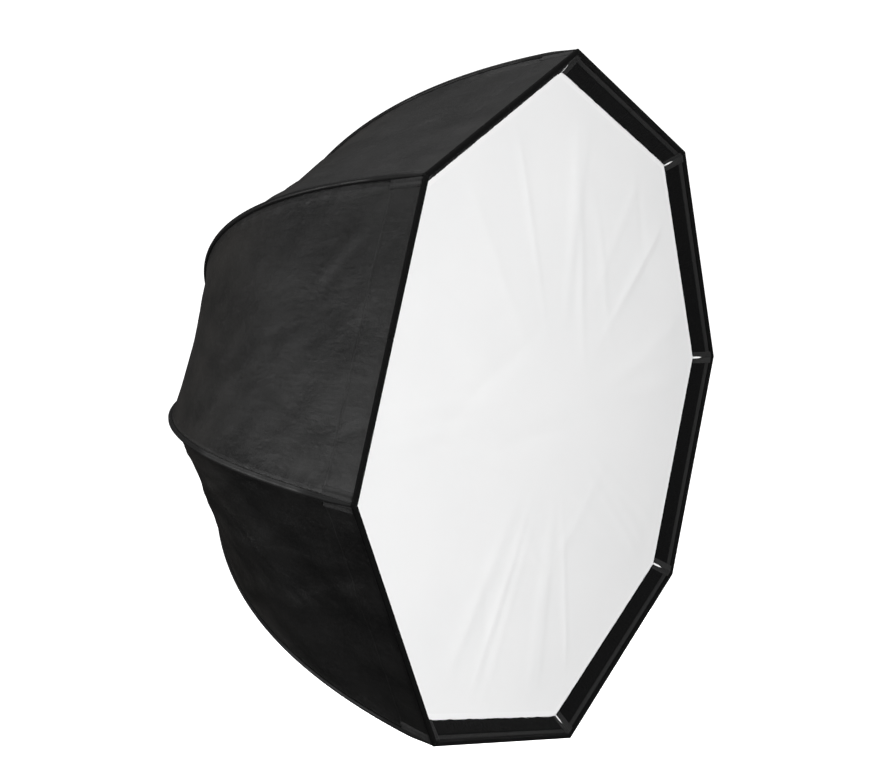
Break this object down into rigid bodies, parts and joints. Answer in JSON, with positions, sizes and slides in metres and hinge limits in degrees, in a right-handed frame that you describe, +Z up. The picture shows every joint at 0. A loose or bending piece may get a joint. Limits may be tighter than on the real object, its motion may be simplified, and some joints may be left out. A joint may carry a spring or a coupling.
{
  "type": "studio softbox",
  "caption": "Octagonal umbrella softbox with folding ribs, a sliding runner, a black canopy, an inward lip and a removable white front.",
  "frame": {"origin": "on the shaft's axis where a flash bracket's clamp grips it, 90 mm behind the plane of the front rim", "axes": "+Y back along the shaft from the open front to the rear cap, +Z up through a corner of the front"},
  "size_m": [0.7998, 0.4983, 0.7998],
  "materials": {
    "canopy_cloth": "coated nylon taffeta, silver inside",
    "diffuser_cloth": "white translucent polyester",
    "zip_tape": "woven tape with coil teeth",
    "shaft_steel": "polished plated tube",
    "small_steel": "plated wire and sheet",
    "black_steel": "satin black",
    "rib_rod": "pultruded fibreglass, satin black",
    "black_plastic": "moulded nylon, fine matte"
  },
  "bodies": {
    "shaft": {"shaft": "shaft_steel", "shaft_end_cap": "black_plastic", "crown_hub": "black_plastic", "crown_wire": "small_steel", "canopy_washer": "black_plastic", "rear_cap": "black_plastic"},
    "catch": {"catch": "small_steel"},
    "runner": {"runner": "black_plastic", "runner_wire": "small_steel"},
    "rib_1": {"rib_1": "rib_rod", "rib_tip_1": "black_plastic", "rib_bracket_1": "black_steel", "gore_left_1": "canopy_cloth", "gore_right_1": "canopy_cloth"},
    "rib_2": {"rib_2": "rib_rod", "rib_tip_2": "black_plastic", "rib_bracket_2": "black_steel", "gore_left_2": "canopy_cloth", "gore_right_2": "canopy_cloth"},
    "rib_3": {"rib_3": "rib_rod", "rib_tip_3": "black_plastic", "rib_bracket_3": "black_steel", "gore_left_3": "canopy_cloth", "gore_right_3": "canopy_cloth"},
    "rib_4": {"rib_4": "rib_rod", "rib_tip_4": "black_plastic", "rib_bracket_4": "black_steel", "gore_left_4": "canopy_cloth", "gore_right_4": "canopy_cloth"},
    "rib_5": {"rib_5": "rib_rod", "rib_tip_5": "black_plastic", "rib_bracket_5": "black_steel", "gore_left_5": "canopy_cloth", "gore_right_5": "canopy_cloth", "zip_tape": "zip_tape"},
    "rib_6": {"rib_6": "rib_rod", "rib_tip_6": "black_plastic", "rib_bracket_6": "black_steel", "gore_left_6": "canopy_cloth", "gore_right_6": "canopy_cloth"},
    "rib_7": {"rib_7": "rib_rod", "rib_tip_7": "black_plastic", "rib_bracket_7": "black_steel", "gore_left_7": "canopy_cloth", "gore_right_7": "canopy_cloth"},
    "rib_8": {"rib_8": "rib_rod", "rib_tip_8": "black_plastic", "rib_bracket_8": "black_steel", "gore_left_8": "canopy_cloth", "gore_right_8": "canopy_cloth"},
    "stretcher_1": {"stretcher_1": "black_steel"},
    "stretcher_2": {"stretcher_2": "black_steel"},
    "stretcher_3": {"stretcher_3": "black_steel"},
    "stretcher_4": {"stretcher_4": "black_steel"},
    "stretcher_5": {"stretcher_5": "black_steel"},
    "stretcher_6": {"stretcher_6": "black_steel"},
    "stretcher_7": {"stretcher_7": "black_steel"},
    "stretcher_8": {"stretcher_8": "black_steel"},
    "diffuser": {"diffuser": "diffuser_cloth"},
    "zip_slider": {"zip_slider": "small_steel"}
  },
  "joints": [
    {"name": "runner_slide", "type": "slide", "parent": "shaft", "child": "runner", "axis": [0, -1, 0], "range_m": [0, 0.1238], "deforming": ["gore_left_1", "gore_right_1", "gore_left_2", "gore_right_2", "gore_left_3", "gore_right_3", "gore_left_4", "gore_right_4", "gore_left_5", "gore_right_5", "gore_left_6", "gore_right_6", "gore_left_7", "gore_right_7", "gore_left_8", "gore_right_8", "diffuser", "zip_tape"]},
    {"name": "rib_fold_1", "type": "hinge", "parent": "shaft", "child": "rib_1", "pos_m": [0, 0.38301, 0.01954], "axis": [1, 0, 0], "range_deg": [-0.05, 38.51]},
    {"name": "rib_fold_2", "type": "hinge", "parent": "shaft", "child": "rib_2", "pos_m": [0.01381, 0.38301, 0.01381], "axis": [0.7071, 0, -0.7071], "range_deg": [-0.05, 38.51]},
    {"name": "rib_fold_3", "type": "hinge", "parent": "shaft", "child": "rib_3", "pos_m": [0.01954, 0.38301, 0], "axis": [0, 0, -1], "range_deg": [-0.05, 38.51]},
    {"name": "rib_fold_4", "type": "hinge", "parent": "shaft", "child": "rib_4", "pos_m": [0.01381, 0.38301, -0.01381], "axis": [-0.7071, 0, -0.7071], "range_deg": [-0.05, 38.51]},
    {"name": "rib_fold_5", "type": "hinge", "parent": "shaft", "child": "rib_5", "pos_m": [0, 0.38301, -0.01954], "axis": [-1, 0, 0], "range_deg": [-0.05, 38.51]},
    {"name": "rib_fold_6", "type": "hinge", "parent": "shaft", "child": "rib_6", "pos_m": [-0.01381, 0.38301, -0.01381], "axis": [-0.7071, 0, 0.7071], "range_deg": [-0.05, 38.51]},
    {"name": "rib_fold_7", "type": "hinge", "parent": "shaft", "child": "rib_7", "pos_m": [-0.01954, 0.38301, 0], "axis": [0, 0, 1], "range_deg": [-0.05, 38.51]},
    {"name": "rib_fold_8", "type": "hinge", "parent": "shaft", "child": "rib_8", "pos_m": [-0.01381, 0.38301, 0.01381], "axis": [0.7071, 0, 0.7071], "range_deg": [-0.05, 38.51]},
    {"name": "stretcher_fold_1", "type": "hinge", "parent": "runner", "child": "stretcher_1", "pos_m": [0, 0.275, 0.014], "axis": [-1, 0, 0], "range_deg": [-0.05, 30.22]},
    {"name": "stretcher_fold_2", "type": "hinge", "parent": "runner", "child": "stretcher_2", "pos_m": [0.0099, 0.275, 0.0099], "axis": [-0.7071, 0, 0.7071], "range_deg": [-0.05, 30.22]},
    {"name": "stretcher_fold_3", "type": "hinge", "parent": "runner", "child": "stretcher_3", "pos_m": [0.014, 0.275, 0], "axis": [0, 0, 1], "range_deg": [-0.05, 30.22]},
    {"name": "stretcher_fold_4", "type": "hinge", "parent": "runner", "child": "stretcher_4", "pos_m": [0.0099, 0.275, -0.0099], "axis": [0.7071, 0, 0.7071], "range_deg": [-0.05, 30.22]},
    {"name": "stretcher_fold_5", "type": "hinge", "parent": "runner", "child": "stretcher_5", "pos_m": [0, 0.275, -0.014], "axis": [1, 0, 0], "range_deg": [-0.05, 30.22]},
    {"name": "stretcher_fold_6", "type": "hinge", "parent": "runner", "child": "stretcher_6", "pos_m": [-0.0099, 0.275, -0.0099], "axis": [0.7071, 0, -0.7071], "range_deg": [-0.05, 30.22]},
    {"name": "stretcher_fold_7", "type": "hinge", "parent": "runner", "child": "stretcher_7", "pos_m": [-0.014, 0.275, 0], "axis": [0, 0, -1], "range_deg": [-0.05, 30.22]},
    {"name": "stretcher_fold_8", "type": "hinge", "parent": "runner", "child": "stretcher_8", "pos_m": [-0.0099, 0.275, 0.0099], "axis": [-0.7071, 0, -0.7071], "range_deg": [-0.05, 30.22]},
    {"name": "catch_press", "type": "slide", "parent": "shaft", "child": "catch", "axis": [0, 0, -1], "range_m": [0, 0.0028], "stiffness_N_per_m": 300},
    {"name": "diffuser_off", "type": "slide", "parent": "shaft", "child": "diffuser", "axis": [0, -1, 0], "range_m": [0, 0.3]},
    {"name": "zip_slide", "type": "hinge", "parent": "rib_5", "child": "zip_slider", "pos_m": [0.018, -0.14642, 0.39871], "axis": [1, 0, 0], "range_deg": [0, 14.42]}
  ],
  "couplings": [
    {"joint": "rib_fold_1", "follows": "runner_slide", "rad_per_m": 5.4217},
    {"joint": "stretcher_fold_1", "follows": "runner_slide", "rad_per_m": 4.2538},
    {"joint": "rib_fold_2", "follows": "runner_slide", "rad_per_m": 5.4217},
    {"joint": "stretcher_fold_2", "follows": "runner_slide", "rad_per_m": 4.2538},
    {"joint": "rib_fold_3", "follows": "runner_slide", "rad_per_m": 5.4217},
    {"joint": "stretcher_fold_3", "follows": "runner_slide", "rad_per_m": 4.2538},
    {"joint": "rib_fold_4", "follows": "runner_slide", "rad_per_m": 5.4217},
    {"joint": "stretcher_fold_4", "follows": "runner_slide", "rad_per_m": 4.2538},
    {"joint": "rib_fold_5", "follows": "runner_slide", "rad_per_m": 5.4217},
    {"joint": "stretcher_fold_5", "follows": "runner_slide", "rad_per_m": 4.2538},
    {"joint": "rib_fold_6", "follows": "runner_slide", "rad_per_m": 5.4217},
    {"joint": "stretcher_fold_6", "follows": "runner_slide", "rad_per_m": 4.2538},
    {"joint": "rib_fold_7", "follows": "runner_slide", "rad_per_m": 5.4217},
    {"joint": "stretcher_fold_7", "follows": "runner_slide", "rad_per_m": 4.2538},
    {"joint": "rib_fold_8", "follows": "runner_slide", "rad_per_m": 5.4217},
    {"joint": "stretcher_fold_8", "follows": "runner_slide", "rad_per_m": 4.2538}
  ]
}
